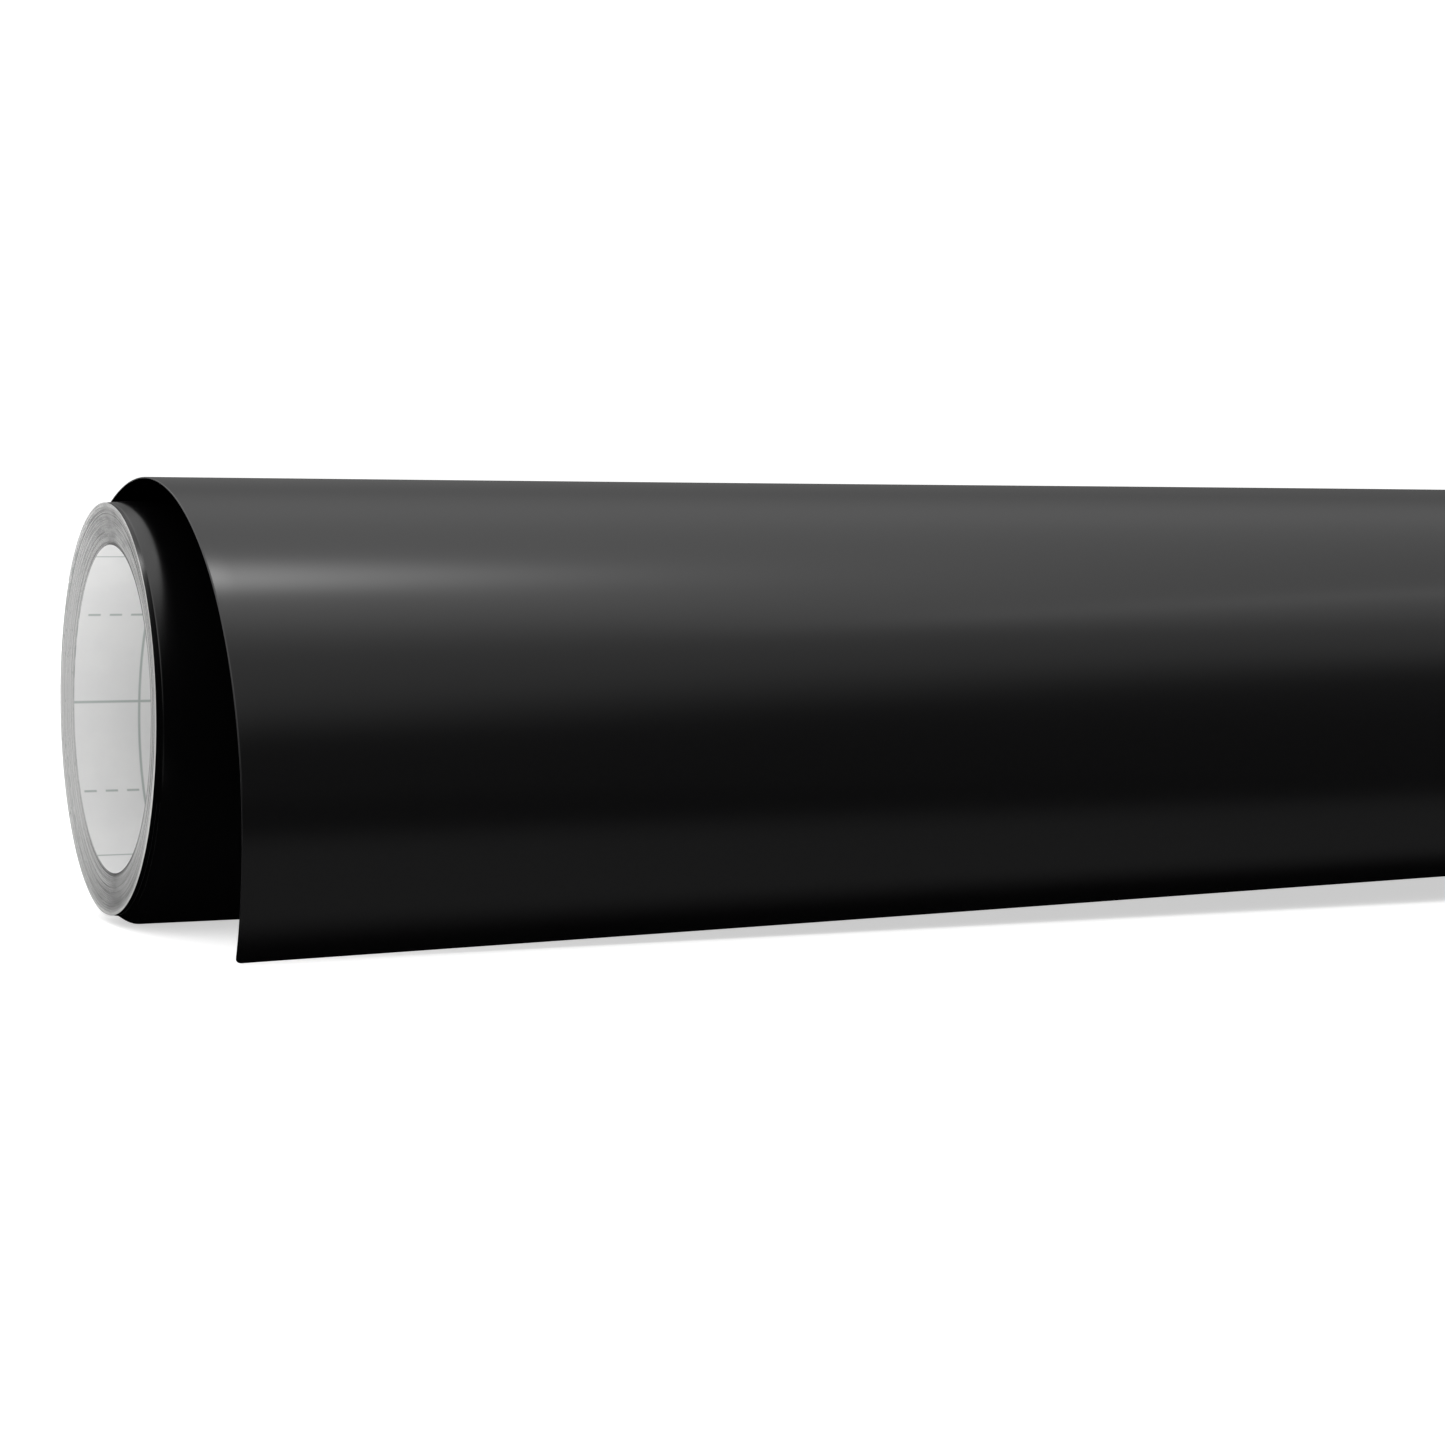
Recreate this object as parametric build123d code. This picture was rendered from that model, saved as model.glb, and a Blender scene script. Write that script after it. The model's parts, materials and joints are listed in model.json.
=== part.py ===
from build123d import *
from math import acos, cos, radians, sin, tan
import os

# A coreless roll of sign vinyl, lying on a surface with its last lap of film loose.
# X runs along the roll, Y to the back, Z up. The origin is on the bore's axis, half way along the web.
# Every length is in millimetres.

WEB_WIDTH = 610.0
BORE_RADIUS = 43.1
PACKAGE_RADIUS = 54.2
PAPER_TURN = 0.5
TURN_GROUPS = 5
TURN_GAP = 0.02
END_DISH = 1.4

# Bare film wound loosely over the package, a little out of line with it. It hangs a little low, so it is
# close to the package at the top and stands off it below.
OUTER_TURN_RADIUS = 55.6
OUTER_TURN_SAG = 1.2
OUTER_TURN_SHIFT = 1.3

# The loose lap. Its web runs a little askew, so its near edge steps back towards the free end.
FILM_THICKNESS = 0.5
HINGE_GAP = 0.3
WEB_SKEW = radians(0.85)
CUT_SKEW = radians(1.3)
LAP_SHIFT = 5.1

# The lap's section is four tangent arcs. A slope is the film's fall as it runs to the front,
# so it is negative behind the top and more than a right angle where the tail turns back under.
LEAVE_RADIUS = 55.5
LEAVE_SLOPE = radians(-29.3)
SHOULDER_SLOPE = radians(45.0)
BELLY_SLOPE = radians(90.0)
CROWN_RADIUS = 94.0
SHOULDER_RADIUS = 90.0
FRONT_RADIUS = 76.5
TAIL_RADIUS = 82.0

FLOOR_Z = -OUTER_TURN_RADIUS - OUTER_TURN_SAG
TRIM_MARGIN = 30.0


def turn(inner, outer, shift, sag=0.0):
    """A tube of wound web along X, moved from the middle by shift, whose outside hangs low by sag."""
    start = Plane.YZ.offset(shift - WEB_WIDTH / 2)
    section = Pos(0, -sag) * Circle(outer) - Circle(inner)
    return extrude(start * section, amount=WEB_WIDTH)


def package_turns():
    """The tight package, from the printed paper in the bore to the bare film on the outside."""
    first = BORE_RADIUS + PAPER_TURN
    last = PACKAGE_RADIUS - PAPER_TURN
    group = (last - first) / TURN_GROUPS
    turns = {"bore_liner_turn": turn(BORE_RADIUS, first, END_DISH)}
    for index in range(TURN_GROUPS):
        inner = first + index * group
        shift = END_DISH * (TURN_GROUPS - 1 - index) / TURN_GROUPS
        turns[f"wound_turns_{index + 1}"] = turn(inner + TURN_GAP, inner + group, shift)
    turns["outer_liner_turn"] = turn(last + TURN_GAP, PACKAGE_RADIUS, 0)
    turns["outer_film_turns"] = turn(
        PACKAGE_RADIUS + TURN_GAP, OUTER_TURN_RADIUS, OUTER_TURN_SHIFT, OUTER_TURN_SAG
    )
    return turns


def arc_point(centre, radius, slope):
    """The point (y, z) of an arc where the film has that slope."""
    return centre[0] - radius * sin(slope), centre[1] + radius * cos(slope)


def arc_centre(point, radius, slope):
    """The centre (y, z) of the arc that passes a point with that slope."""
    return point[0] + radius * sin(slope), point[1] - radius * cos(slope)


def film_band(centre, radius, start_slope, end_slope):
    """One arc of film between two slopes, drawn out along X past both edges of the web."""
    slopes = (start_slope, (start_slope + end_slope) / 2, end_slope)
    outside = [arc_point(centre, radius + FILM_THICKNESS / 2, slope) for slope in slopes]
    inside = [arc_point(centre, radius - FILM_THICKNESS / 2, slope) for slope in reversed(slopes)]
    outline = [
        ThreePointArc(*outside),
        Line(outside[-1], inside[0]),
        ThreePointArc(*inside),
        Line(inside[-1], outside[0]),
    ]
    start = Plane.YZ.offset(-WEB_WIDTH / 2 - TRIM_MARGIN)
    return extrude(start * make_face(outline), amount=WEB_WIDTH + 2 * TRIM_MARGIN)


def near_edge_x(run):
    """Where the web's near edge is, after a run of film from where the lap leaves the package."""
    return LAP_SHIFT - WEB_WIDTH / 2 + run * tan(WEB_SKEW)


def trim_sides(film, start, start_run, end, end_run):
    """Cuts a strip along the web's two straight edges, between two points (y, z) of its section."""
    near = Vector(near_edge_x(start_run), *start)
    along = Vector(near_edge_x(end_run), *end) - near
    across = Vector(0, -along.Z, along.Y).cross(along).normalized()
    if across.X < 0:
        across = -across
    far = near + Vector(WEB_WIDTH / cos(WEB_SKEW), 0, 0)
    film = split(film, bisect_by=Plane(origin=near, z_dir=across), keep=Keep.TOP)
    return split(film, bisect_by=Plane(origin=far, z_dir=across), keep=Keep.BOTTOM)


def trim_free_end(film, corner, slope):
    """Cuts the film's free end a hair out of square, so that it rises towards the far end."""
    onward = Vector(sin(CUT_SKEW), -cos(CUT_SKEW) * cos(slope), -cos(CUT_SKEW) * sin(slope))
    return split(film, bisect_by=Plane(origin=corner, z_dir=onward), keep=Keep.BOTTOM)


def lap_strips():
    """The loose lap in three strips, and the lines (y, z) that they hinge on."""
    leave = arc_point((0, 0), LEAVE_RADIUS, LEAVE_SLOPE)
    crown = arc_centre(leave, CROWN_RADIUS, LEAVE_SLOPE)
    top = arc_point(crown, CROWN_RADIUS, 0)
    shoulder = arc_centre(top, SHOULDER_RADIUS, 0)
    brow = arc_point(shoulder, SHOULDER_RADIUS, SHOULDER_SLOPE)
    front = arc_centre(brow, FRONT_RADIUS, SHOULDER_SLOPE)
    belly = arc_point(front, FRONT_RADIUS, BELLY_SLOPE)
    tail = arc_centre(belly, TAIL_RADIUS, BELLY_SLOPE)

    # The near corner of the free end stops just short of the surface under the roll.
    corner_z = FLOOR_Z + FILM_THICKNESS / 2
    tail_slope = acos((corner_z - tail[1]) / TAIL_RADIUS)
    tip = arc_point(tail, TAIL_RADIUS, tail_slope)

    brow_run = CROWN_RADIUS * -LEAVE_SLOPE + SHOULDER_RADIUS * SHOULDER_SLOPE
    belly_run = brow_run + FRONT_RADIUS * (BELLY_SLOPE - SHOULDER_SLOPE)
    tip_run = belly_run + TAIL_RADIUS * (tail_slope - BELLY_SLOPE)

    gap = HINGE_GAP / 2
    crown_film = film_band(crown, CROWN_RADIUS, LEAVE_SLOPE, 0)
    crown_film += film_band(shoulder, SHOULDER_RADIUS, 0, SHOULDER_SLOPE - gap / SHOULDER_RADIUS)
    front_film = film_band(
        front, FRONT_RADIUS, SHOULDER_SLOPE + gap / FRONT_RADIUS, BELLY_SLOPE - gap / FRONT_RADIUS
    )
    past_tip = tail_slope + radians(4)
    tail_film = film_band(tail, TAIL_RADIUS, BELLY_SLOPE + gap / TAIL_RADIUS, past_tip)
    tail_film = trim_free_end(tail_film, (near_edge_x(tip_run), *tip), tail_slope)

    strips = {
        "lap_crown": trim_sides(crown_film, leave, 0, brow, brow_run),
        "lap_front": trim_sides(front_film, brow, brow_run, belly, belly_run),
        "lap_tail": trim_sides(tail_film, belly, belly_run, tip, tip_run),
    }
    lines = {"leave": leave, "brow": brow, "belly": belly, "tip": tip}
    runs = {"brow": brow_run, "belly": belly_run, "tip": tip_run}
    return strips, lines, runs


def main():
    os.makedirs("parts", exist_ok=True)
    strips, lines, runs = lap_strips()
    nodes = {**package_turns(), **strips}
    for name, solid in nodes.items():
        export_step(solid, f"parts/{name}.step")
    for name, point in lines.items():
        print(f"{name} line at y {point[0]:.2f}, z {point[1]:.2f}")
    for name, run in runs.items():
        print(f"film run to the {name}: {run:.1f}, near edge at x {near_edge_x(run):.2f}")
    print(f"{len(nodes)} nodes")


main()
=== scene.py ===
# %% [markdown]
# # A roll of sign vinyl
# Sign vinyl is a thin glossy plastic film with glue on its back, kept on a sheet of coated release
# paper. Film and paper are wound together, so the roll's end shows hundreds of fine rings, and the
# paper's printed back is the wall of the bore. The last lap of film has sprung loose: it leaves the
# roll behind its top and hangs down in front.
#
# The part's frame is loaded first, because every place below is worked out from it.

# %% Load the frame
import json
import math

import bpy
import numpy as np
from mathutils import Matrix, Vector


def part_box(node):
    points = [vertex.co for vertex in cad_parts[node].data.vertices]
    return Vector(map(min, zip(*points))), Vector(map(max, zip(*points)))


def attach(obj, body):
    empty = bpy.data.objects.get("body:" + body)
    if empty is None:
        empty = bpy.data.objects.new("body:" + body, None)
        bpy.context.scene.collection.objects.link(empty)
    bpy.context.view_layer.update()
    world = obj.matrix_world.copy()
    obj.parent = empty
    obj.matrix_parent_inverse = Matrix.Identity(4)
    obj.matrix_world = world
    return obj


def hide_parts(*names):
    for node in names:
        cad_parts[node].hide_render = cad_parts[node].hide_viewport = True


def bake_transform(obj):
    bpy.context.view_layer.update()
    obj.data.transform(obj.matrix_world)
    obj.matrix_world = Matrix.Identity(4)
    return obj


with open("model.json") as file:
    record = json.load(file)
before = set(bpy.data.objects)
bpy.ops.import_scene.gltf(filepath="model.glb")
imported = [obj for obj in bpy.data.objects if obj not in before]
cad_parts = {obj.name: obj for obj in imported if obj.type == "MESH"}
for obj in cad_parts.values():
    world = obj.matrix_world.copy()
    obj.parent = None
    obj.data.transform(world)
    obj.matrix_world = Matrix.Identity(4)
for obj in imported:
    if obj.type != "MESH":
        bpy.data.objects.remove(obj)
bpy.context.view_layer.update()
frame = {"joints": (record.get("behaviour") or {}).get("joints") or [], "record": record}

# %% [markdown]
# ## Sizes
# A maker would measure the bore, the outside and the web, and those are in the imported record. What
# the CAD part leaves out is the web's real make-up: paper 0.15 mm thick and film with its glue
# 0.09 mm. Together they are the distance from one turn to the next, so the number of turns follows.

# %% Sizes of the roll
MM = 0.001
PAPER_THICKNESS = 0.15 * MM
FILM_THICKNESS = 0.09 * MM
TURN_PITCH = PAPER_THICKNESS + FILM_THICKNESS

mounts = {mount["name"]: mount for mount in frame["record"]["mounts"]}
hinges = {joint["name"]: joint["pos_m"] for joint in frame["joints"]}
bore_radius = mounts["bore"]["dims"]["r_mm"] * MM
web_width = mounts["bore"]["dims"]["length_mm"] * MM
near_end_x = mounts["near_end"]["pos_m"][0]
package_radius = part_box("outer_liner_turn")[1].z
loose_low, loose_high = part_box("outer_film_turns")
outer_radius = loose_high.y
floor_z = loose_low.z
turn_count = (package_radius - bore_radius) / TURN_PITCH
web_length = math.pi * (package_radius + bore_radius) * turn_count
print(f"{turn_count:.1f} turns, {web_length:.1f} m of web, {web_width * 1000:.0f} mm wide")

# %% [markdown]
# ## Camera
# The camera stands low, a little above the roll's axis and off to its near end, so that it looks into
# the bore and along the loose lap. It is placed before anything else, since everything is judged
# through it. A long lens keeps the far edges of the film nearly parallel.

# %% Camera
CAMERA_PLACE = (-0.5017, -0.842, 0.0401)
CAMERA_LOOK = (0.4059, 0.9125, -0.0512)

camera = bpy.data.objects.new("camera", bpy.data.cameras.new("camera"))
camera.data.lens = 80.55
camera.data.sensor_width = 36.0
camera.data.clip_start = 0.01
camera.data.clip_end = 100.0
camera.location = CAMERA_PLACE
camera.rotation_mode = "QUATERNION"
camera.rotation_quaternion = Vector(CAMERA_LOOK).to_track_quat("-Z", "Y")
bpy.context.scene.collection.objects.link(camera)
bpy.context.scene.camera = camera
print("camera looks along", CAMERA_LOOK)

# %% [markdown]
# ## One builder for every strip
# Each piece here is the same kind of thing: a thin closed outline carried along a path. The outline is
# the web's cut across its width, a very long flat rectangle, and the path is a spiral or the line in
# which the loose film hangs. So one helper takes a whole array of outlines, joins each to the next and
# closes both ends. Its UV map holds metres along the web and metres across it, for the patterns that
# follow the web.

# %% Closed strip builder
def closed_strip(name, outlines, web_map, side_materials, materials):
    """A closed mesh through outlines[station, corner], each a loop of 2k points.

    Side faces join corner j and j + 1 of station i to the same corners of station i + 1. The two ends
    are closed by k - 1 quads that join point j to its opposite, 2k - 1 - j. The faces are turned round
    if the volume, the sum of a . (b x c) / 6 over all triangles, comes out negative.
    """
    stations, corners = outlines.shape[:2]
    index = np.arange(stations * corners).reshape(stations, corners)
    after = np.roll(index, -1, axis=1)
    sides = np.stack([index[:-1], index[1:], after[1:], after[:-1]], axis=-1).reshape(-1, 4)
    half = np.arange(corners // 2 - 1)
    cap = np.stack([half, half + 1, corners - 2 - half, corners - 1 - half], axis=-1)
    faces = np.concatenate([sides, index[0][cap], index[-1][cap[:, ::-1]]])
    points = outlines.reshape(-1, 3)
    a, b, c, d = (points[faces[:, k]] for k in range(4))
    volume = float((a * np.cross(b, c)).sum() + (a * np.cross(c, d)).sum()) / 6
    if volume < 0:
        faces = faces[:, ::-1]
    slots = np.concatenate([np.tile(side_materials, stations - 1), np.zeros(2 * len(cap), int)])

    mesh = bpy.data.meshes.new(name)
    mesh.vertices.add(len(points))
    mesh.vertices.foreach_set("co", points.astype(np.float32).ravel())
    mesh.loops.add(faces.size)
    mesh.loops.foreach_set("vertex_index", faces.astype(np.int32).ravel())
    mesh.polygons.add(len(faces))
    mesh.polygons.foreach_set("loop_start", np.arange(0, faces.size, 4, dtype=np.int32))
    mesh.polygons.foreach_set("material_index", slots.astype(np.int32))
    mesh.update(calc_edges=True)
    along_and_across = web_map.reshape(-1, 2)[faces.ravel()]
    layer = mesh.uv_layers.new(name="web")
    layer.data.foreach_set("uv", along_and_across.astype(np.float32).ravel())
    mesh.shade_smooth()
    mesh.set_sharp_from_angle(angle=math.radians(35))
    mesh.validate()
    for material in materials:
        mesh.materials.append(material)
    piece = bpy.data.objects.new(name, mesh)
    bpy.context.scene.collection.objects.link(piece)
    print(f"{name}: {len(faces)} faces, {abs(volume) * 1e6:.1f} cm3")
    return piece


# %% [markdown]
# ## Effects that several finishes share
# An effect used by more than one material is a node group, built once: the tone of the wound ends, the
# fibres of paper, the ripple of rolled film, and the printed rule lines.

# %% Node helpers
def node(tree, kind, values=None, **settings):
    """A new node of that kind. values fill its inputs, and a socket given as a value is linked."""
    made = tree.nodes.new(kind)
    for key, value in settings.items():
        setattr(made, key, value)
    for key, value in (values or {}).items():
        if isinstance(value, bpy.types.NodeSocket):
            tree.links.new(value, made.inputs[key])
        else:
            made.inputs[key].default_value = value
    return made


def math_node(tree, operation, *values):
    """The output of a Math node with those inputs, numbers or sockets."""
    return node(tree, "ShaderNodeMath", dict(enumerate(values)), operation=operation).outputs[0]


def ease(tree, value, low, high, start=0.0, end=1.0):
    """start below low, end above high, and a smooth step in between."""
    values = {"Value": value, "From Min": low, "From Max": high, "To Min": start, "To Max": end}
    return node(tree, "ShaderNodeMapRange", values, interpolation_type="SMOOTHSTEP").outputs[0]


def new_group(name, inputs, outputs):
    """An empty node group with named float or vector inputs and named float outputs."""
    group = bpy.data.node_groups.new(name, "ShaderNodeTree")
    for label, default in inputs.items():
        kind = "NodeSocketVector" if default is None else "NodeSocketFloat"
        socket = group.interface.new_socket(label, in_out="INPUT", socket_type=kind)
        if default is not None:
            socket.default_value = default
    for label in outputs:
        group.interface.new_socket(label, in_out="OUTPUT", socket_type="NodeSocketFloat")
    entry = group.nodes.new("NodeGroupInput").outputs
    leave = group.nodes.new("NodeGroupOutput").inputs
    return group, entry, leave


def use_group(tree, group, **values):
    """Places a node group, with inputs named as words joined by underscores."""
    named = {key.replace("_", " "): value for key, value in values.items()}
    return node(tree, "ShaderNodeGroup", named, node_tree=group).outputs


def new_material(name):
    """A material with a Principled shader, and its tree."""
    material = bpy.data.materials.new(name)
    material.use_nodes = True
    tree = material.node_tree
    return material, tree, tree.nodes["Principled BSDF"]


def set_inputs(shader, **values):
    """Fixed numbers and colours on the shader's own sockets."""
    for key, value in values.items():
        shader.inputs[key.replace("_", " ")].default_value = value


def mix_colour(tree, factor, first, second):
    """first where factor is 0 and second where it is 1, each a colour or a socket."""
    mix = node(tree, "ShaderNodeMix", {"Factor": factor}, data_type="RGBA")
    for socket, value in ((mix.inputs[6], first), (mix.inputs[7], second)):
        if isinstance(value, bpy.types.NodeSocket):
            tree.links.new(value, socket)
        else:
            socket.default_value = (*value, 1.0)
    return mix.outputs[2]


def object_place(tree):
    """The point in the piece's own coordinates, in metres."""
    return node(tree, "ShaderNodeTexCoord").outputs["Object"]


def scaled_place(tree, coordinates, scales):
    """A vector whose x, y and z are each a coordinate times its scale."""
    scaled = [math_node(tree, "MULTIPLY", *pair) for pair in zip(coordinates, scales)]
    return node(tree, "ShaderNodeCombineXYZ", dict(zip("XYZ", scaled))).outputs[0]


def noise(tree, vector, scale, detail=2.0, roughness=0.5):
    """Cloudy noise from 0 to 1, with about scale lumps for each unit of the vector."""
    values = {"Vector": vector, "Scale": scale, "Detail": detail, "Roughness": roughness}
    return node(tree, "ShaderNodeTexNoise", values).outputs[0]


# %% Tone of the wound ends
# Each layer of streaks has its lumps per metre of radius, its lumps per metre round the roll, and its
# share of the streaks.
STREAK_LAYERS = ((2600.0, 24.0, 0.6), (900.0, 40.0, 0.5))
BLOTCH_LUMPS = (480.0, 130.0)
# Where the top's edges are pressed, and the low band that is painted darker as shade, with their depths.
PRESSED_HEIGHT = (28 * MM, 46 * MM)
LOW_SHADE_HEIGHT = (-52 * MM, -26 * MM)
PRESSED_TOP, LOW_SHADE_DEPTH = 0.75, 1.05
FIRST_TURN_SHADE = LAST_TURN_LIGHT = 0.3
TURN_FADE, LAST_TURN_WIDTH = 1.7 * MM, 0.6 * MM


def make_ring_tone():
    """How light the cut edges are, from 0 to 1, at a Place in the roll's end.

    Streaks are noise on (radius, y, z) with the radius stretched, so they run round the roll. Soft
    noise blotches mark the top, where the edges were pressed. The bottom is painted darker as shade,
    with the same blotches in it. The first turn is in the shade of the bore's rim, and the last turn
    of paper is made lighter.
    """
    inputs = {"Place": None, "Base": 0.7, "Streaks": 0.2, "Blotches": 0.3}
    group, entry, leave = new_group("ring_tone", inputs, ["Tone"])
    _, y, z = node(group, "ShaderNodeSeparateXYZ", {0: entry["Place"]}).outputs
    squares = [math_node(group, "POWER", side, 2.0) for side in (y, z)]
    radius = math_node(group, "SQRT", math_node(group, "ADD", *squares))

    tone = entry["Base"]
    for radial, around, share in STREAK_LAYERS:
        stretched = scaled_place(group, (radius, y, z), (radial, around, around))
        streak = math_node(group, "SUBTRACT", noise(group, stretched, 1.0, 2.0, 0.6), 0.5)
        weight = math_node(group, "MULTIPLY", entry["Streaks"], share)
        tone = math_node(group, "MULTIPLY_ADD", streak, weight, tone)

    radial, around = BLOTCH_LUMPS
    smeared = scaled_place(group, (radius, y, z), (radial, around, around))
    blotch = ease(group, noise(group, smeared, 1.0, 4.0, 0.6), 0.4, 0.64)
    pressed = math_node(group, "MULTIPLY", blotch, ease(group, z, *PRESSED_HEIGHT, 0.0, PRESSED_TOP))
    # Painted shade: the bottom of the end is darker, with blotches in it.
    low_shade_and_blotch = math_node(group, "MULTIPLY_ADD", blotch, 0.35, LOW_SHADE_DEPTH)
    low_shade_and_blotch = math_node(group, "MULTIPLY", low_shade_and_blotch, ease(group, z, *LOW_SHADE_HEIGHT, 1.0, 0.0))
    marks_and_low_shade = math_node(group, "ADD", pressed, low_shade_and_blotch)
    tone = math_node(group, "SUBTRACT", tone, math_node(group, "MULTIPLY", marks_and_low_shade, entry["Blotches"]))

    shade = ease(group, radius, bore_radius, bore_radius + TURN_FADE, FIRST_TURN_SHADE, 0.0)
    last_turn = (package_radius - TURN_FADE, package_radius - LAST_TURN_WIDTH)
    light = ease(group, radius, *last_turn, 0.0, LAST_TURN_LIGHT)
    tone = math_node(group, "ADD", math_node(group, "SUBTRACT", tone, shade), light)
    group.links.new(tone, leave["Tone"])
    return group


ring_tone = make_ring_tone()
print("node group", ring_tone.name)

# %% Paper fibres and film ripple
CLOUD_LUMPS, FIBRE_LUMPS = 90.0, 2600.0
WAVE_LUMPS, WAVE_STRETCH = 60.0, 0.12
PEEL_LUMPS, PEEL_SHARE = 900.0, 0.012


def make_paper_fibre():
    """Faint cloudiness and fibres of paper: Cloud for its colour, Height for its surface."""
    group, entry, leave = new_group("paper_fibre", {"Place": None}, ["Cloud", "Height"])
    group.links.new(noise(group, entry["Place"], CLOUD_LUMPS, 4.0, 0.55), leave["Cloud"])
    group.links.new(noise(group, entry["Place"], FIBRE_LUMPS, 3.0, 0.6), leave["Height"])
    return group


def make_film_ripple():
    """Surface of rolled film: long low waves along the web, and a very fine orange peel."""
    group, entry, leave = new_group("film_ripple", {"Place": None}, ["Height"])
    sides = node(group, "ShaderNodeSeparateXYZ", {0: entry["Place"]}).outputs
    waves = noise(group, scaled_place(group, sides, (WAVE_STRETCH, 1.0, 1.0)), WAVE_LUMPS, 1.0)
    peel = noise(group, entry["Place"], PEEL_LUMPS, 1.0)
    group.links.new(math_node(group, "MULTIPLY_ADD", peel, PEEL_SHARE, waves), leave["Height"])
    return group


paper_fibre, film_ripple = make_paper_fibre(), make_film_ripple()
print("node groups", paper_fibre.name, film_ripple.name)

# %% Printed rule lines
def make_rule_line():
    """1 on lines at every Spacing from Offset and 0 between them.

    The distance to the nearest line is a ping-pong of (At - Offset) with half the spacing. The mask
    falls off smoothly at half the line's Width.
    """
    inputs = {"At": 0.0, "Offset": 0.0, "Spacing": 0.05, "Width": 0.0008, "Soft": 0.0002}
    group, entry, leave = new_group("rule_line", inputs, ["Mask"])
    moved = math_node(group, "SUBTRACT", entry["At"], entry["Offset"])
    gap = math_node(group, "PINGPONG", moved, math_node(group, "MULTIPLY", entry["Spacing"], 0.5))
    rim = math_node(group, "MULTIPLY", entry["Width"], 0.5)
    low = math_node(group, "SUBTRACT", rim, entry["Soft"])
    high = math_node(group, "ADD", rim, entry["Soft"])
    group.links.new(ease(group, gap, low, high, 1.0, 0.0), leave["Mask"])
    return group


rule_line = make_rule_line()
print("node group", rule_line.name)

# %% [markdown]
# ## Finishes
# The film is nearly pure black plastic with a hard gloss, so almost all that is seen of it is
# reflection. Its cut edge is the same plastic, a little duller. The paper's cut edge is matt and takes
# the tone of the rings. The printed back of the paper is smooth and slightly grey, with a measuring
# grid: full lines about every 51 mm and dashed lines half way between them, both ways.

# %% Black film
def make_film_gloss():
    """The film's two faces: black plastic whose gloss is broken up by the ripple."""
    material, tree, shader = new_material("film_gloss")
    set_inputs(shader, Base_Color=(0.0012, 0.0012, 0.0014, 1.0), Roughness=0.2, IOR=1.5)
    ripple = use_group(tree, film_ripple, Place=object_place(tree))["Height"]
    bump = node(tree, "ShaderNodeBump", {"Strength": 0.12, "Distance": 0.0006, "Height": ripple})
    tree.links.new(bump.outputs[0], shader.inputs["Normal"])
    return material


def make_film_edge():
    """The film's cut edges: a duller black, from darker to lighter by the tone of the rings."""
    material, tree, shader = new_material("film_edge")
    set_inputs(shader, Roughness=0.35, IOR=1.5)
    # The ring tone holds painted shade at the bottom of the end.
    tone = use_group(tree, ring_tone, Place=object_place(tree), Streaks=0.9)
    colour = mix_colour(tree, tone["Tone"], (0.004, 0.004, 0.005), (0.03, 0.03, 0.032))
    tree.links.new(colour, shader.inputs["Base Color"])
    return material


film_gloss, film_edge = make_film_gloss(), make_film_edge()
print("film finishes ready")

# %% Paper
PAPER_WHITE = (0.80, 0.80, 0.79)
CLOUD_DARK, CLOUD_PALE = (0.735, 0.735, 0.735), (0.765, 0.765, 0.76)
PRINT_INK = (0.20, 0.26, 0.24)
PRINT_STRENGTH = 0.62
PRINT_SLANT = 0.026
GRID_SPACING = 51.2 * MM
GRID_ACROSS = 18.15 * MM
DASH_START = -2.5 * MM
DASH_PITCH = 5.9 * MM
DASH_LENGTH = 3.4 * MM
LINE_WIDTH = 0.65 * MM


def make_paper_edge():
    """The paper's cut edges: matt, from dark grey to white by the tone of the rings."""
    material, tree, shader = new_material("paper_edge")
    set_inputs(shader, Roughness=0.8, Specular_IOR_Level=0.25)
    place = object_place(tree)
    # The ring tone holds painted shade at the bottom of the end.
    tone = use_group(tree, ring_tone, Place=place, Base=0.52, Streaks=0.42, Blotches=0.22)
    colour = mix_colour(tree, tone["Tone"], (0.05, 0.05, 0.05), PAPER_WHITE)
    tree.links.new(colour, shader.inputs["Base Color"])
    fibre = use_group(tree, paper_fibre, Place=place)["Height"]
    bump = node(tree, "ShaderNodeBump", {"Strength": 0.3, "Distance": 0.0001, "Height": fibre})
    tree.links.new(bump.outputs[0], shader.inputs["Normal"])
    return material


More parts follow.
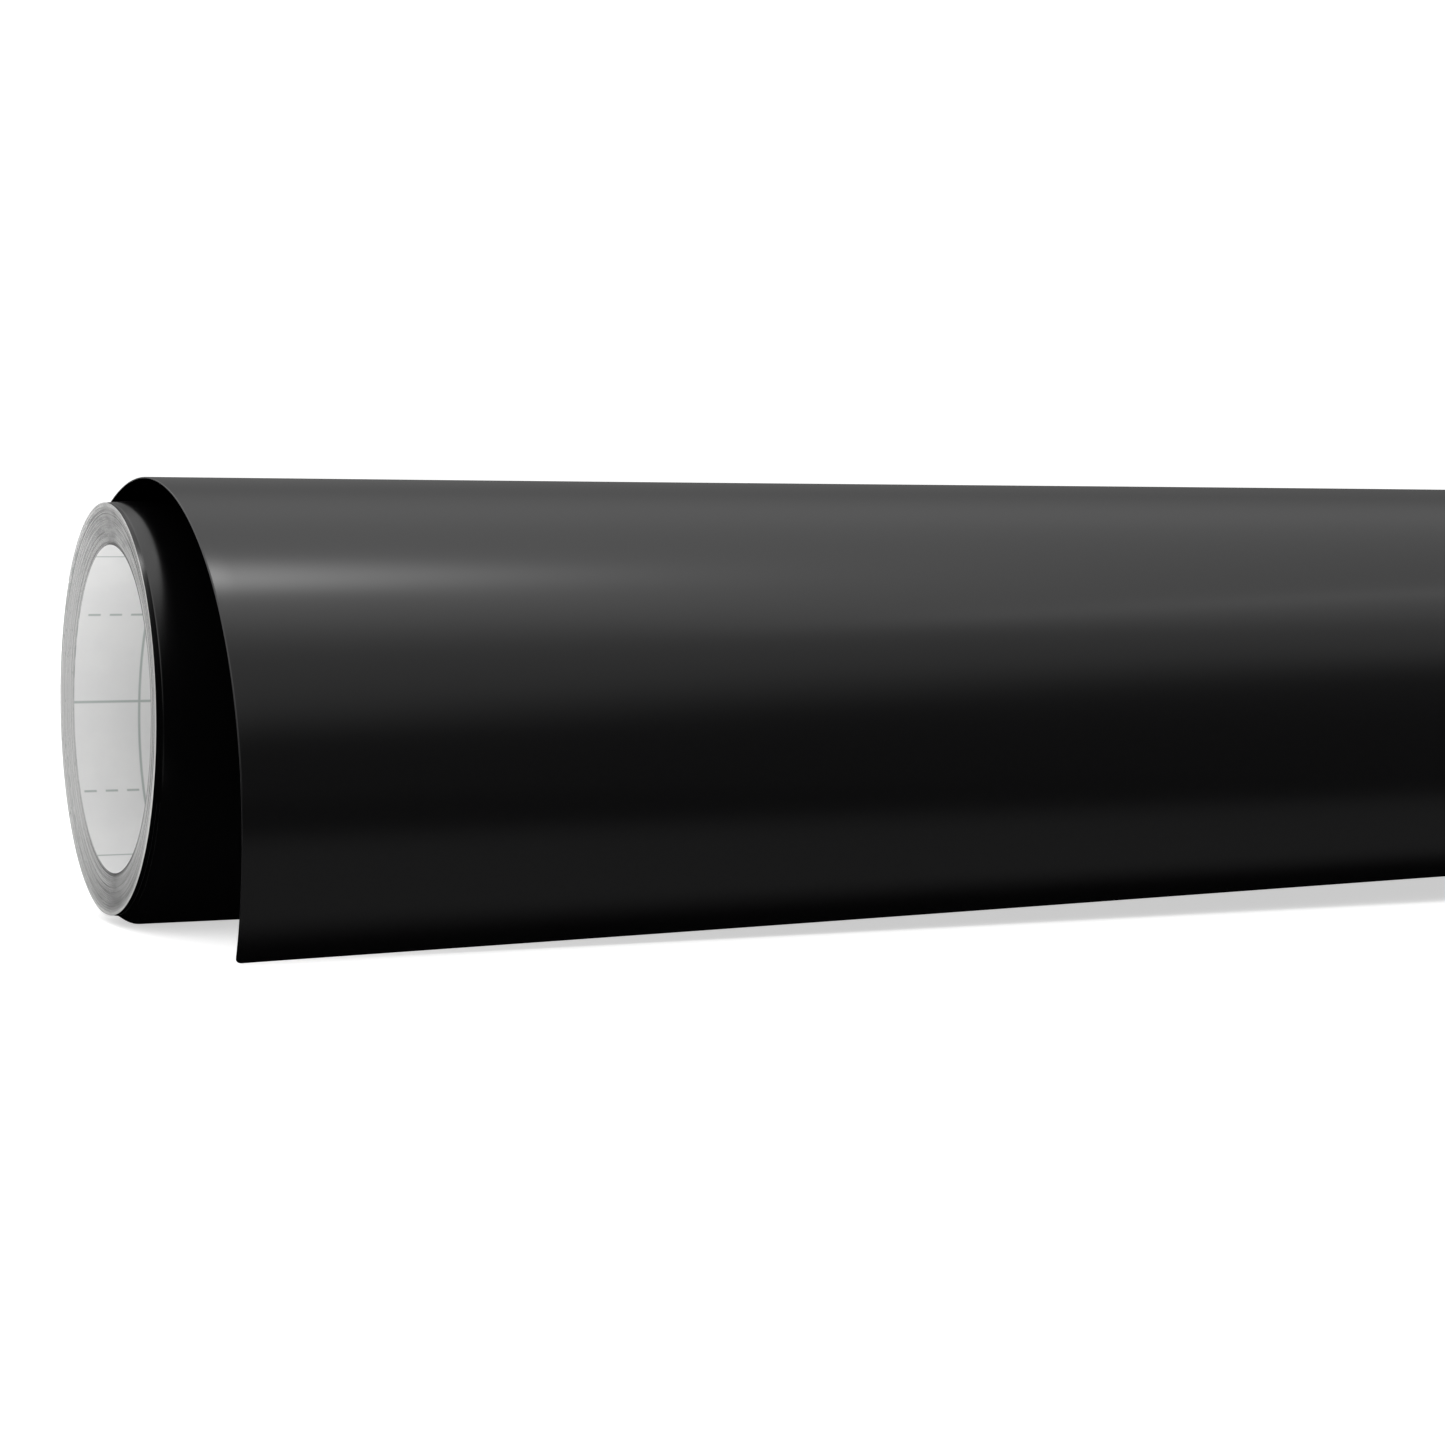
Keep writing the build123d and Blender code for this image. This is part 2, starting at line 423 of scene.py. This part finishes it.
def make_printed_paper():
    """Grey-white coated paper with the grid. Dashed lines are a full line times a mask of dashes.

    The print runs a little askew on the web: across is taken as across - slant * along.
    """
    material, tree, shader = new_material("printed_paper")
    set_inputs(shader, Roughness=0.5, Specular_IOR_Level=0.35)
    web = node(tree, "ShaderNodeUVMap", uv_map="web").outputs[0]
    along, edge_distance = node(tree, "ShaderNodeSeparateXYZ", {0: web}).outputs[:2]
    across = math_node(tree, "MULTIPLY_ADD", along, -PRINT_SLANT, edge_distance)

    def line(at, offset):
        """Thin lines, one for each step of the grid."""
        values = {"At": at, "Offset": offset, "Spacing": GRID_SPACING, "Width": LINE_WIDTH}
        return use_group(tree, rule_line, **values)["Mask"]

    def dashes(at):
        """Short stretches, one for each dash."""
        values = {"At": at, "Offset": DASH_START, "Spacing": DASH_PITCH, "Width": DASH_LENGTH}
        return use_group(tree, rule_line, **values)["Mask"]

    half = GRID_SPACING / 2
    full = math_node(tree, "MAXIMUM", line(along, 0.0), line(across, GRID_ACROSS))
    broken_across = math_node(tree, "MULTIPLY", line(along, half), dashes(across))
    broken_along = math_node(tree, "MULTIPLY", line(across, GRID_ACROSS + half), dashes(along))
    ink = math_node(tree, "MAXIMUM", full, math_node(tree, "MAXIMUM", broken_across, broken_along))
    fibre = use_group(tree, paper_fibre, Place=object_place(tree))
    cloud = ease(tree, fibre["Cloud"], 0.3, 0.7)
    paper = mix_colour(tree, cloud, CLOUD_DARK, CLOUD_PALE)
    faded = math_node(tree, "MULTIPLY", ink, PRINT_STRENGTH)
    tree.links.new(mix_colour(tree, faded, paper, PRINT_INK), shader.inputs["Base Color"])
    height = fibre["Height"]
    bump = node(tree, "ShaderNodeBump", {"Strength": 0.15, "Distance": 0.00005, "Height": height})
    tree.links.new(bump.outputs[0], shader.inputs["Normal"])
    return material


paper_edge, printed_paper = make_paper_edge(), make_printed_paper()
print("paper finishes ready")

# %% [markdown]
# ## The wound web
# Film and paper lie on each other all the way, as two spirals one behind the other. A stack of tubes
# would look much the same from the end, but the spiral is what the roll is: its first edge shows as a
# step in the bore and its last one runs on into the loose lap. Both webs are drawn at their real
# thickness with all their turns, and each turn is a hair out of line with the next, as on any roll,
# which is what makes the rings show.

# %% Spirals
START_ANGLE = math.radians(205)
STEPS_PER_TURN = 240
END_DISH = 1.4 * MM
END_TILT = 0.45 * MM
TURN_WANDER = 0.05 * MM
CONTACT_GAP = 0.003 * MM

random_turns = np.random.default_rng(11)
wander_at = np.arange(0, turn_count + 1, 0.31)
wander = random_turns.normal(0, TURN_WANDER, len(wander_at))


def turn_offset(turn):
    """How far the web stands off the near end's plane.

    That is a dish that deepens towards the bore, wander, and a tilt: the end is a little farther in at
    its top than at its bottom, by tilt * (1 + sin(angle)) / 2.
    """
    dish = END_DISH * (1 - turn / turn_count)
    tilt = END_TILT * (1 + np.sin(START_ANGLE + 2 * math.pi * turn)) / 2
    return dish + tilt + np.interp(turn, wander_at, wander)


def spiral_web(name, gap_below, thickness, side_materials, materials):
    """One web of the roll: radius = bore + gap below + pitch * turns, angle = start + 2 pi * turns."""
    turn = np.linspace(0, turn_count, int(turn_count * STEPS_PER_TURN) + 1)
    angle = START_ANGLE + 2 * math.pi * turn
    inner = bore_radius + gap_below + TURN_PITCH * turn
    outer = inner + thickness - CONTACT_GAP
    near = near_end_x + turn_offset(turn)
    far = near + web_width
    radius = np.stack([inner, inner, outer, outer], axis=1)
    x = np.stack([near, far, far, near], axis=1)
    y, z = radius * np.cos(angle)[:, None], radius * np.sin(angle)[:, None]
    outlines = np.stack([x, y, z], axis=-1)
    run = 2 * math.pi * (bore_radius * turn + TURN_PITCH * turn**2 / 2)
    across = np.array([0, web_width, web_width, 0])
    web_map = np.stack(np.broadcast_arrays(run[:, None] - grid_start, across), axis=-1)
    return closed_strip(name, outlines, web_map, side_materials, materials)


# A full line of the grid lies at the back of the bore, level with its axis.
LINE_ANGLE = math.radians(360 + 0.3)
grid_start = bore_radius * (LINE_ANGLE - START_ANGLE)

liner_web = spiral_web(
    "liner_web_wound", 0.0, PAPER_THICKNESS, [1, 0, 0, 0], [paper_edge, printed_paper]
)
film_web = spiral_web(
    "film_web_wound", PAPER_THICKNESS, FILM_THICKNESS, [1, 0, 1, 0], [film_edge, film_gloss]
)

# %% [markdown]
# ## The loose lap's line
# Seen from the end, the film leaves the package behind its top, runs over it in a flat arch, and turns
# down in a rounder belly to the surface. In CAD that line is four arcs. Here the curvature is eased from
# one to the next, because a gloss film shows every jump in curvature as a kink in what it mirrors. The
# line is the integral of the slope, and the slope is the integral of the curvature.

# %% Section of the lap
SLOPES = np.radians([-29.3, 0.0, 45.0, 90.0, 116.4])
RADII = np.array([94.0, 90.0, 76.5, 82.0]) * MM
EASE_LENGTH = 24 * MM
SECTION_STEP = 0.25 * MM

arc_lengths = RADII * np.diff(SLOPES)
lap_length = arc_lengths.sum()
section_run = np.arange(0, lap_length + SECTION_STEP, SECTION_STEP)
arc_index = np.clip(np.searchsorted(np.cumsum(arc_lengths), section_run), 0, len(RADII) - 1)
window = int(EASE_LENGTH / SECTION_STEP)
padded = np.pad(1 / RADII[arc_index], window, mode="edge")
curvature = np.convolve(padded, np.ones(window) / window, mode="same")[window:-window]


def running_total(values):
    """The integral of values along the section, from its start, by the trapezium rule."""
    steps = (values[1:] + values[:-1]) / 2 * SECTION_STEP
    return np.concatenate([[0.0], np.cumsum(steps)])


_, leave_y, leave_z = hinges["lap_lift"]
section_slope = SLOPES[0] + running_total(curvature)
section_y = leave_y - running_total(np.cos(section_slope))
section_z = leave_z - running_total(np.sin(section_slope))
brow_run, belly_run = arc_lengths[:2].sum(), arc_lengths[:3].sum()
for name, run in (("front_unbend", brow_run), ("tail_flex", belly_run)):
    miss = math.hypot(
        np.interp(run, section_run, section_y) - hinges[name][1],
        np.interp(run, section_run, section_z) - hinges[name][2],
    )
    print(f"{name}: the line passes {miss * 1000:.2f} mm from the hinge")
print(f"lap {lap_length * 1000:.1f} mm long, tip at z {section_z[-1] * 1000:.2f} mm")

# %% [markdown]
# ## The loose lap
# The lap is one sheet. It is built as three pieces that meet edge to edge in the stretches between the
# hinges, so that each piece holds one hinge. Rows crowd together towards each meeting line, so that the
# shading runs on without a seam. The web runs slightly askew, so its near edge steps back towards the
# free end. The knife leaves the film's edge a little rounded, which is why it catches a line of light,
# and the free end's corner is cut off round.

# %% Lap pieces
LAP_THICKNESS = 0.36 * MM
WEB_SKEW = math.radians(0.85)
CUT_SKEW = math.radians(1.3)
EDGE_ROUND = 0.35 * MM
EDGE_DROP = 0.2 * MM
CORNER_ROUND, CORNER_REACH = 1.2 * MM, 5 * MM
# Each wave has its height, its rates along the run and along x in radians per metre, and its phase.
LAP_WAVES = ((0.16 * MM, 31, 5.1, 0), (0.12 * MM, -17, 13.7, 1.3))
WAVES_FROM = 80 * MM
ROWS, COLUMNS = 64, 110

lap_near_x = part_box("lap_crown")[0].x
lap_width = web_width / math.cos(WEB_SKEW)
crown_seam, front_seam = brow_run * 0.5, (brow_run + belly_run) / 2


def across_film(inner, round_share=1.0):
    """Distances across the film, crowded over its rounded edges, and the drop of its face there.

    The drop at a distance d from a knife cut is a quarter of an ellipse: it falls from EDGE_DROP to
    nothing over EDGE_ROUND as 1 - sqrt(1 - (1 - d / EDGE_ROUND)^2).
    """
    edge = EDGE_ROUND * np.array([0, 0.08, 0.25, 0.5, 0.75])
    across = np.concatenate([edge, inner, lap_width - edge[::-1]])
    inset = np.clip(1 - np.minimum(across, lap_width - across) / EDGE_ROUND, 0, 1)
    return across, round_share * EDGE_DROP * (1 - np.sqrt(1 - inset**2))


def film_piece(name, outside, inside, run, across):
    """A film from its two faces, each [row, column].

    The outline goes out on the outside face and comes back on the inside one.
    """
    outlines = np.concatenate([outside, inside[:, ::-1]], axis=1)
    flat_map = np.stack(np.broadcast_arrays(run, across), axis=-1)
    columns = len(across)
    side_materials = np.ones(2 * columns, int)
    side_materials[[columns - 1, 2 * columns - 1]] = 0
    web_map = np.concatenate([flat_map, flat_map[:, ::-1]], axis=1)
    return closed_strip(name, outlines, web_map, side_materials, [film_edge, film_gloss])


def lap_wave(run, x):
    """How far very low waves lift the film off its section. They die out where it leaves the roll.

    Each wave is height * sin(along * run + across * x + phase).
    """
    waves = sum(
        height * np.sin(along * run + across * x + phase)
        for height, along, across, phase in LAP_WAVES
    )
    return waves * np.clip(run / WAVES_FROM, 0, 1)


def lap_piece(name, first_run, last_run, free_end=False):
    """The film between two runs. A row at share t is at run = first + t * (last - first).

    t is (1 - cos(pi * k)) / 2 for even steps of k from 0 to 1, so rows crowd at both ends. At the free
    end the last run shortens across the web by tan(cut skew), and near the corner the near edge draws
    in along a quarter circle.
    """
    across, drop = across_film(np.linspace(EDGE_ROUND, lap_width - EDGE_ROUND, COLUMNS))
    share = (1 - np.cos(np.linspace(0, math.pi, ROWS))) / 2
    last = np.full_like(across, last_run)
    if free_end:
        last = last_run - across * math.tan(CUT_SKEW)
    run = first_run + share[:, None] * (last - first_run)
    x = lap_near_x + run * math.tan(WEB_SKEW) + across
    if free_end:
        into = np.clip(CORNER_ROUND - (last - run), 0, None)
        draw_in = CORNER_ROUND - np.sqrt(CORNER_ROUND**2 - into**2)
        x = x + draw_in * np.clip(1 - across / CORNER_REACH, 0, 1)
    y = np.interp(run, section_run, section_y)
    z = np.interp(run, section_run, section_z)
    slope = np.interp(run, section_run, section_slope)
    wave = lap_wave(run, x)

    def face(out):
        """The film's middle line moved out along its normal."""
        return np.stack([x, y - np.sin(slope) * out, z + np.cos(slope) * out], axis=-1)

    outside, inside = face(wave + LAP_THICKNESS / 2 - drop), face(wave - LAP_THICKNESS / 2)
    return film_piece(name, outside, inside, run, across)


lap_crown = lap_piece("lap_film_crown", 0.0, crown_seam)
lap_front = lap_piece("lap_film_front", crown_seam, front_seam)
lap_tail = lap_piece("lap_film_tail", front_seam, lap_length, free_end=True)

# %% [markdown]
# ## The bare turns under the lap
# Before it comes loose, the film goes round the package a little more than once with no paper under it.
# It was wound back by hand, so it is slack: it touches the package at the back and the top, stands a
# little off it in front of the top, and hangs away from it below, where the roll lies on it. Both of its
# edges cling to the package, so it rolls down to them, and the light catches it there. Its last third of
# a turn opens out to the line where the lap leaves, and its edge drifts over to the lap's edge.

# %% Bare outer turns
BARE_TURNS = 1.62
BARE_THICKNESS = 0.12 * MM
BARE_PITCH = 0.14 * MM
BARE_START = 0.6 * BARE_THICKNESS
BARE_OPENING = 0.34
BARE_DRIFT = 0.5 * MM
BARE_ROUND_SHARE = 0.4
SLACK_SHARE, SLACK_GROWTH = 0.9, 0.8
CLING = 4.5 * MM
CURL_REACH = 6.0 * MM
CURL_RISE = 1.05 * MM
CURL_MIDDLE, CURL_SPREAD = math.radians(122), math.radians(28)


def smooth(share):
    """0 below 0, 1 above 1, and 3 t^2 - 2 t^3 between."""
    share = np.clip(share, 0, 1)
    return share**2 * (3 - 2 * share)


bare_turn = np.linspace(0, BARE_TURNS, int(BARE_TURNS * STEPS_PER_TURN) + 1)
leave_angle, leave_radius = math.atan2(leave_z, leave_y), math.hypot(leave_y, leave_z)
bare_angle = leave_angle - 2 * math.pi * (BARE_TURNS - bare_turn)
opening = smooth((bare_turn - BARE_TURNS) / BARE_OPENING + 1)
run_before_leave = (bare_turn - BARE_TURNS) * 2 * math.pi * outer_radius
askew = lap_near_x + run_before_leave * math.tan(WEB_SKEW)
bare_near = BARE_DRIFT * np.logaddexp(askew / BARE_DRIFT, loose_low.x / BARE_DRIFT)

swell = np.linspace(0, 1, 14)[1:] * CURL_REACH
inner_across = np.concatenate([[EDGE_ROUND], swell, lap_width - swell[::-1]])
bare_across, bare_drop = across_film(inner_across, BARE_ROUND_SHARE)
from_edge = np.minimum(bare_across, lap_width - bare_across)

# %% [markdown]
# The film's radius is that of a tight winding plus two rises. The slack one goes with the square of the
# downward part of the direction, and the curl in front of the top is a bell over the angle. Both grow
# with the first turn, and both come in from the film's edge as a quarter of a sine.

# %% Slack and curl


def from_clinging_edge(reach):
    """0 at the film's edge and 1 from reach on, as sin(pi / 2 * distance / reach)."""
    return np.sin(math.pi / 2 * np.clip(from_edge / reach, 0, 1))


grown = smooth(bare_turn / SLACK_GROWTH)
slack = SLACK_SHARE * (-floor_z - package_radius) * np.clip(-np.sin(bare_angle), 0, 1) ** 2
past_middle = (bare_angle - CURL_MIDDLE + math.pi) % (2 * math.pi) - math.pi
curl = CURL_RISE * np.exp(-((past_middle / CURL_SPREAD) ** 2))
tight_radius = package_radius + BARE_START + BARE_PITCH * bare_turn
slack_radius = (
    tight_radius[:, None]
    + (slack * grown)[:, None] * from_clinging_edge(CLING)
    + (curl * grown)[:, None] * from_clinging_edge(CURL_REACH)
)
bare_radius = slack_radius + (leave_radius - slack_radius) * opening[:, None]
print(f"slack up to {slack.max() * 1000:.2f} mm, curl up to {curl.max() * 1000:.2f} mm")


def bare_face(out):
    """The face at that distance out from the middle of the film: x from the drifting near edge."""
    radius, angle = bare_radius + out, bare_angle[:, None]
    x = np.broadcast_to(bare_near[:, None] + bare_across, radius.shape)
    return np.stack([x, radius * np.cos(angle), radius * np.sin(angle)], axis=-1)


bare_turns = film_piece(
    "bare_film_turns",
    bare_face(BARE_THICKNESS / 2 - bare_drop),
    bare_face(np.full_like(bare_drop, -BARE_THICKNESS / 2)),
    np.broadcast_to(run_before_leave[:, None], (len(bare_turn), len(bare_across))),
    bare_across,
)

# %% [markdown]
# ## What moves with what
# The wound webs and the bare turns go with the package. The three pieces of the lap, round the hinges
# where the film leaves the package, at the brow and at the belly, keep their place in the world.


wound_nodes = ["bore_liner_turn", "outer_liner_turn", *(f"wound_turns_{k}" for k in range(1, 6))]
for piece in (liner_web, film_web):
    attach(piece, "package")
    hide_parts(*wound_nodes)
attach(bare_turns, "package")
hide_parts("outer_film_turns")

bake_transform(lap_crown)
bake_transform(lap_front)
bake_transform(lap_tail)
for piece, node_name in ((lap_crown, "lap_crown"), (lap_front, "lap_front"), (lap_tail, "lap_tail")):
    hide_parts(node_name)

# %% [markdown]
# ## Floor
# The roll lies on a plain pale floor. A black gloss film mirrors the floor in front of it, and a white
# one would wash its belly out. So mirror rays find the floor darker: darkest in the shade close by, and
# dim again far out. Light that bounces off it is a little stronger round the near end, as if a card lay
# there, which fills the bore from below.

# %% Floor
FLOOR_HALF = 12.0
FLOOR_WHITE = 0.86
ROOM_LIFT, CAMERA_LIFT = 0.16, 0.42
CARD_STRENGTH, CARD_REACH = 1.05, (0.06, 0.40)
SHADE_RIM, SHADE_NARROWING = (0.098, 0.115), -0.035
MIRRORED_FLOOR = 0.205
FAR_RIM, FAR_DIMMING = (0.17, 0.30), -0.15


def mirrored_floor(tree, place):
    """How bright mirror rays find the floor: 0 in the shade along the roll, and dim again far out.

    The shade's rim comes nearer to the roll by a small share of the distance along it.
    """
    x, y, _ = node(tree, "ShaderNodeSeparateXYZ", {0: place}).outputs
    away = math_node(tree, "ABSOLUTE", y)
    along_roll = math_node(tree, "SUBTRACT", x, near_end_x)
    in_shade = math_node(tree, "MULTIPLY_ADD", along_roll, SHADE_NARROWING, away)
    near_shade = ease(tree, in_shade, *SHADE_RIM, 0.0, MIRRORED_FLOOR)
    return math_node(tree, "ADD", near_shade, ease(tree, away, *FAR_RIM, 0.0, FAR_DIMMING))


def glow(tree, strength):
    """A white emission of that strength, a number or a socket."""
    return node(tree, "ShaderNodeEmission", {"Color": (1, 1, 1, 1), "Strength": strength}).outputs[0]


def make_floor_material():
    """Pale paint plus a glow, and a darker glow in their place for mirror rays.

    The first glow is ROOM_LIFT for all rays, CAMERA_LIFT more for the camera's and the card's strength
    more for diffuse rays.
    """
    material = bpy.data.materials.new("pale_floor")
    material.use_nodes = True
    tree = material.node_tree
    tree.nodes.clear()
    out = tree.nodes.new("ShaderNodeOutputMaterial")
    ray = tree.nodes.new("ShaderNodeLightPath").outputs
    place = object_place(tree)
    ends = {0: place, 1: (near_end_x, 0.0, floor_z)}
    from_near_end = node(tree, "ShaderNodeVectorMath", ends, operation="DISTANCE").outputs["Value"]
    card = ease(tree, from_near_end, *CARD_REACH, CARD_STRENGTH, 0.0)
    lift = math_node(tree, "MULTIPLY_ADD", ray["Is Camera Ray"], CAMERA_LIFT, ROOM_LIFT)
    lift = math_node(tree, "MULTIPLY_ADD", ray["Is Diffuse Ray"], card, lift)
    white = (FLOOR_WHITE, FLOOR_WHITE, FLOOR_WHITE, 1.0)
    paint = node(tree, "ShaderNodeBsdfDiffuse", {"Color": white}).outputs[0]
    pale = node(tree, "ShaderNodeAddShader", {0: paint, 1: glow(tree, lift)}).outputs[0]
    mirrored = glow(tree, mirrored_floor(tree, place))
    shaders = {0: ray["Is Glossy Ray"], 1: pale, 2: mirrored}
    mixed = node(tree, "ShaderNodeMixShader", shaders).outputs[0]
    tree.links.new(mixed, out.inputs["Surface"])
    return material


floor_mesh = bpy.data.meshes.new("floor")
corners = FLOOR_HALF * np.array([[-1, -1], [1, -1], [1, 1], [-1, 1]])
floor_mesh.from_pydata([(*corner, floor_z) for corner in corners.tolist()], [], [(0, 1, 2, 3)])
floor_mesh.materials.append(make_floor_material())
floor = bpy.data.objects.new("floor", floor_mesh)
bpy.context.scene.collection.objects.link(floor)
print("floor at z", round(floor_z, 4))

# %% [markdown]
# ## Light
# The studio is a soft room: dim at the horizon, brighter towards a long ceiling light, with one small
# soft lamp over the near end and a thin streak of light along the far half. A broad pale wall to the
# left lights the wound end and the bore, and a smaller one to the right lights the far end.
# It is a world shader worked out from the direction of a ray. Lights placed this way light the roll and
# are mirrored in the film, and the room itself shows white. The ceiling's strength changes with the
# angle in the YZ plane, from the back horizon over the top to the front, in a few soft edges. For rays
# that run to the right its front edges turn a little and its strength falls.

# %% Ceiling
# Each soft edge is two angles in degrees, and the change of strength between them.
CEILING_AT_BACK = 0.20
CEILING_EDGES = (
    (5, 40, 0.14),  # up the back wall
    (30, 58, 0.56),  # from the wall to the ceiling
    (50, 102, 0.72),  # into the long ceiling light
    (101, 128, -0.94),  # out of it again
    (125, 150, -0.13),  # over the dim front of the ceiling
    (142, 163, -0.45),  # down to the front wall
)
RIGHT_FROM = 0.28
FRONT_TURN, FRONT_ANGLES = 60.0, (105, 140)
FALL_AT_BACK = -0.95
FALL_EDGES = ((45, 90, -0.5), (100, 125, 0.95), (145, 165, -0.9))


def bell(tree, value, centre, width):
    """exp(-((value - centre) / width) ** 2)"""
    scaled = math_node(tree, "DIVIDE", math_node(tree, "SUBTRACT", value, centre), width)
    squared = math_node(tree, "MULTIPLY", scaled, scaled)
    return math_node(tree, "EXPONENT", math_node(tree, "MULTIPLY", squared, -1.0))


def soft_edges(tree, angle, strength, edges):
    """The strength at the back, plus the change at each soft edge that the angle has passed."""
    for low, high, change in edges:
        strength = math_node(tree, "ADD", strength, ease(tree, angle, low, high, 0.0, change))
    return strength


def ceiling_light(tree, x, angle):
    """edges(angle + turn) * (1 + fall * to_right), where to_right is how far x is past RIGHT_FROM.

    The turn is FRONT_TURN * to_right, in degrees, and grows over the front angles.
    """
    to_right = math_node(tree, "MAXIMUM", math_node(tree, "SUBTRACT", x, RIGHT_FROM), 0.0)
    turn = math_node(tree, "MULTIPLY", to_right, FRONT_TURN)
    turn = math_node(tree, "MULTIPLY", turn, ease(tree, angle, *FRONT_ANGLES))
    turned = math_node(tree, "ADD", angle, turn)
    strength = soft_edges(tree, turned, CEILING_AT_BACK, CEILING_EDGES)
    fall = soft_edges(tree, angle, FALL_AT_BACK, FALL_EDGES)
    gain = math_node(tree, "MULTIPLY_ADD", to_right, fall, 1.0)
    return math_node(tree, "MULTIPLY", strength, gain)


# %% Lamp, streak and walls
LAMP_STRENGTH = 6.9
LAMP_ANGLE, LAMP_ANGLE_WIDTH = 90.4, 5.6
LAMP_X, LAMP_X_WIDTH = 0.2, 0.1
STREAK_STRENGTH, STREAK_WIDTH = 1.4, 0.95
STREAK_ANGLE, STREAK_LEAN = 152.9, -89.0
STREAK_FROM = (0.38, 0.5)
HORIZON = (-0.1, 0.1)
LEFT_WALL_FROM = (-0.3, 0.1)
LEFT_WALL_FOOT, LEFT_WALL_TOP, LEFT_WALL_HEIGHT = 0.35, 1.7, 0.8
RIGHT_WALL_STRENGTH, RIGHT_WALL_FROM = 1.5, (0.74, 0.88)
ROOM_WHITE = 1.1


def lamp_light(tree, x, angle):
    """LAMP_STRENGTH * a bell over the angle * a bell over x."""
    shape = math_node(
        tree, "MULTIPLY",
        bell(tree, angle, LAMP_ANGLE, LAMP_ANGLE_WIDTH), bell(tree, x, LAMP_X, LAMP_X_WIDTH),
    )
    return math_node(tree, "MULTIPLY", shape, LAMP_STRENGTH)


def streak_light(tree, x, angle):
    """A thin bell over the angle, round STREAK_ANGLE + STREAK_LEAN * x, that comes in to the right."""
    middle = math_node(tree, "MULTIPLY_ADD", x, STREAK_LEAN, STREAK_ANGLE)
    streak = bell(tree, math_node(tree, "SUBTRACT", angle, middle), 0.0, STREAK_WIDTH)
    return math_node(tree, "MULTIPLY", streak, ease(tree, x, *STREAK_FROM, 0.0, STREAK_STRENGTH))


def with_walls(tree, x, z, room):
    """The room's light, with the left wall in its place to the left and the right wall added to it."""
    above = ease(tree, z, *HORIZON)
    rising = ease(tree, z, 0.0, LEFT_WALL_HEIGHT, LEFT_WALL_FOOT, LEFT_WALL_TOP)
    left_wall = math_node(tree, "MULTIPLY", above, rising)
    left = ease(tree, x, *LEFT_WALL_FROM, 1.0, 0.0)
    values = {0: left, 2: room, 3: left_wall}
    light = node(tree, "ShaderNodeMix", values, data_type="FLOAT").outputs[0]
    right_wall = math_node(tree, "MULTIPLY", above, RIGHT_WALL_STRENGTH)
    right_wall = math_node(tree, "MULTIPLY", ease(tree, x, *RIGHT_WALL_FROM), right_wall)
    return math_node(tree, "ADD", light, right_wall)


# %% Studio world
def make_world():
    """The studio's light for every ray but the camera's, which finds plain white."""
    world = bpy.data.worlds.new("studio")
    world.use_nodes = True
    tree = world.node_tree
    tree.nodes.clear()
    out = tree.nodes.new("ShaderNodeOutputWorld")
    direction = node(tree, "ShaderNodeTexCoord").outputs["Generated"]
    x, y, z = node(tree, "ShaderNodeSeparateXYZ", {0: direction}).outputs
    angle = math_node(tree, "DEGREES", math_node(tree, "ARCTAN2", z, y))

    lamps = math_node(tree, "ADD", lamp_light(tree, x, angle), streak_light(tree, x, angle))
    room = math_node(tree, "ADD", ceiling_light(tree, x, angle), lamps)
    light = with_walls(tree, x, z, room)

    backgrounds = [
        node(tree, "ShaderNodeBackground", {"Color": (1, 1, 1, 1), "Strength": strength}).outputs[0]
        for strength in (light, ROOM_WHITE)
    ]
    is_camera_ray = tree.nodes.new("ShaderNodeLightPath").outputs["Is Camera Ray"]
    shaders = dict(enumerate([is_camera_ray, *backgrounds]))
    mixed = node(tree, "ShaderNodeMixShader", shaders).outputs[0]
    tree.links.new(mixed, out.inputs["Surface"])
    return world


bpy.context.scene.world = make_world()
bpy.context.scene.view_settings.view_transform = "Standard"
print("studio world ready")
